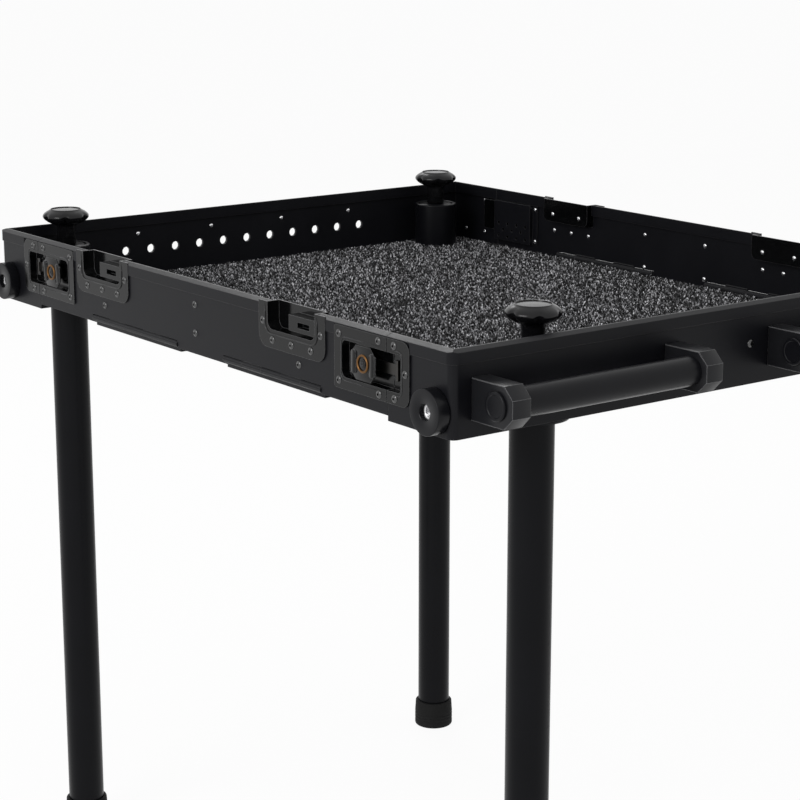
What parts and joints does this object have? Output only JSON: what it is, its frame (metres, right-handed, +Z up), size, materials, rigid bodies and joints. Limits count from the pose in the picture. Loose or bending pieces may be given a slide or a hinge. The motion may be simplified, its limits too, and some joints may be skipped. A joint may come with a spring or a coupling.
{
  "type": "stage riser platform",
  "caption": "Carpeted black equipment tray with drop-down latched sides and end handles, standing on round posts clamped in corner sockets.",
  "frame": {"origin": "on the floor, under the middle of the overall box", "axes": "+Z up, +Y from the handle end to the plain end, +X to the right seen from the handle end"},
  "size_m": [0.6312, 0.8116, 0.692],
  "materials": {
    "frame_coat": "satin black powder coat, finely textured",
    "deck_coat": "satin black powder coat",
    "carpet": "short charcoal loop pile with pale flecks",
    "post_coat": "smooth satin black coat",
    "socket_coat": "smooth satin black coat",
    "foot_rubber": "matte black moulded rubber",
    "knob_plastic": "glossy black moulded plastic",
    "boss_coat": "black turned metal with a bright insert",
    "latch_coat": "semi-gloss black coated pressed steel",
    "claw_steel": "blackened steel with worn edges",
    "hinge_coat": "satin black coat",
    "bracket_coat": "satin black anodised block",
    "grip_coat": "satin black coated tube"
  },
  "bodies": {
    "tray": {"deck_panel": "deck_coat", "carpet_lining": "carpet", "front_frame": "frame_coat", "back_frame": "frame_coat", "hinge_base_front_left": "hinge_coat", "hinge_base_back_left": "hinge_coat", "handle_bracket_left_outer": "bracket_coat", "handle_bracket_left_inner": "bracket_coat", "handle_grip_left": "grip_coat", "hinge_base_front_right": "hinge_coat", "hinge_base_back_right": "hinge_coat", "handle_bracket_right_outer": "bracket_coat", "handle_bracket_right_inner": "bracket_coat", "handle_grip_right": "grip_coat", "post_socket_front_left": "socket_coat", "post_tube_front_left": "post_coat", "post_foot_front_left": "foot_rubber", "corner_boss_front_left": "boss_coat", "latch_strike_front_left": "latch_coat", "post_socket_front_right": "socket_coat", "post_tube_front_right": "post_coat", "post_foot_front_right": "foot_rubber", "corner_boss_front_right": "boss_coat", "latch_strike_front_right": "latch_coat", "post_socket_back_left": "socket_coat", "post_tube_back_left": "post_coat", "post_foot_back_left": "foot_rubber", "corner_boss_back_left": "boss_coat", "latch_strike_back_left": "latch_coat", "post_socket_back_right": "socket_coat", "post_tube_back_right": "post_coat", "post_foot_back_right": "foot_rubber", "corner_boss_back_right": "boss_coat", "latch_strike_back_right": "latch_coat"},
    "left_side": {"drop_side_left": "frame_coat", "rim_keeper_front_left": "latch_coat", "rim_keeper_back_left": "latch_coat", "latch_dish_front_left": "latch_coat", "latch_cover_front_left": "frame_coat", "latch_dish_back_left": "latch_coat", "latch_cover_back_left": "frame_coat"},
    "right_side": {"drop_side_right": "frame_coat", "rim_keeper_front_right": "latch_coat", "rim_keeper_back_right": "latch_coat", "latch_dish_front_right": "latch_coat", "latch_cover_front_right": "frame_coat", "latch_dish_back_right": "latch_coat", "latch_cover_back_right": "frame_coat"},
    "knob_front_left": {"post_knob_front_left": "knob_plastic"},
    "claw_front_left": {"latch_claw_front_left": "claw_steel"},
    "wing_front_left": {"latch_wing_front_left": "latch_coat"},
    "knob_front_right": {"post_knob_front_right": "knob_plastic"},
    "claw_front_right": {"latch_claw_front_right": "claw_steel"},
    "wing_front_right": {"latch_wing_front_right": "latch_coat"},
    "knob_back_left": {"post_knob_back_left": "knob_plastic"},
    "claw_back_left": {"latch_claw_back_left": "claw_steel"},
    "wing_back_left": {"latch_wing_back_left": "latch_coat"},
    "knob_back_right": {"post_knob_back_right": "knob_plastic"},
    "claw_back_right": {"latch_claw_back_right": "claw_steel"},
    "wing_back_right": {"latch_wing_back_right": "latch_coat"}
  },
  "joints": [
    {"name": "left_side_drop", "type": "hinge", "parent": "tray", "child": "left_side", "pos_m": [-0.3015, 0.02475, 0.608], "axis": [0, -1, 0], "range_deg": [0, 90]},
    {"name": "right_side_drop", "type": "hinge", "parent": "tray", "child": "right_side", "pos_m": [0.3015, 0.02475, 0.608], "axis": [0, 1, 0], "range_deg": [0, 90]},
    {"name": "knob_front_left_turn", "type": "hinge", "parent": "tray", "child": "knob_front_left", "pos_m": [-0.1924, -0.32085, 0.684], "axis": [0, 0, 1], "continuous": true},
    {"name": "wing_front_left_turn", "type": "hinge", "parent": "left_side", "child": "wing_front_left", "pos_m": [-0.302, -0.24125, 0.6424], "axis": [1, 0, 0], "range_deg": [0, 180]},
    {"name": "claw_front_left_slide", "type": "slide", "parent": "left_side", "child": "claw_front_left", "axis": [0, -1, 0], "range_m": [0, 0.008]},
    {"name": "knob_front_right_turn", "type": "hinge", "parent": "tray", "child": "knob_front_right", "pos_m": [0.1924, -0.32085, 0.684], "axis": [0, 0, 1], "continuous": true},
    {"name": "wing_front_right_turn", "type": "hinge", "parent": "right_side", "child": "wing_front_right", "pos_m": [0.302, -0.24125, 0.6424], "axis": [1, 0, 0], "range_deg": [0, 180]},
    {"name": "claw_front_right_slide", "type": "slide", "parent": "right_side", "child": "claw_front_right", "axis": [0, -1, 0], "range_m": [0, 0.008]},
    {"name": "knob_back_left_turn", "type": "hinge", "parent": "tray", "child": "knob_back_left", "pos_m": [-0.2455, 0.37035, 0.684], "axis": [0, 0, 1], "continuous": true},
    {"name": "wing_back_left_turn", "type": "hinge", "parent": "left_side", "child": "wing_back_left", "pos_m": [-0.302, 0.29075, 0.6424], "axis": [1, 0, 0], "range_deg": [0, 180]},
    {"name": "claw_back_left_slide", "type": "slide", "parent": "left_side", "child": "claw_back_left", "axis": [0, 1, 0], "range_m": [0, 0.008]},
    {"name": "knob_back_right_turn", "type": "hinge", "parent": "tray", "child": "knob_back_right", "pos_m": [0.2455, 0.37035, 0.684], "axis": [0, 0, 1], "continuous": true},
    {"name": "wing_back_right_turn", "type": "hinge", "parent": "right_side", "child": "wing_back_right", "pos_m": [0.302, 0.29075, 0.6424], "axis": [1, 0, 0], "range_deg": [0, 180]},
    {"name": "claw_back_right_slide", "type": "slide", "parent": "right_side", "child": "claw_back_right", "axis": [0, 1, 0], "range_m": [0, 0.008]}
  ],
  "couplings": [
    {"joint": "claw_front_left_slide", "follows": "wing_front_left_turn", "m_per_rad": 0.0025465},
    {"joint": "claw_front_right_slide", "follows": "wing_front_right_turn", "m_per_rad": 0.0025465},
    {"joint": "claw_back_left_slide", "follows": "wing_back_left_turn", "m_per_rad": 0.0025465},
    {"joint": "claw_back_right_slide", "follows": "wing_back_right_turn", "m_per_rad": 0.0025465}
  ]
}
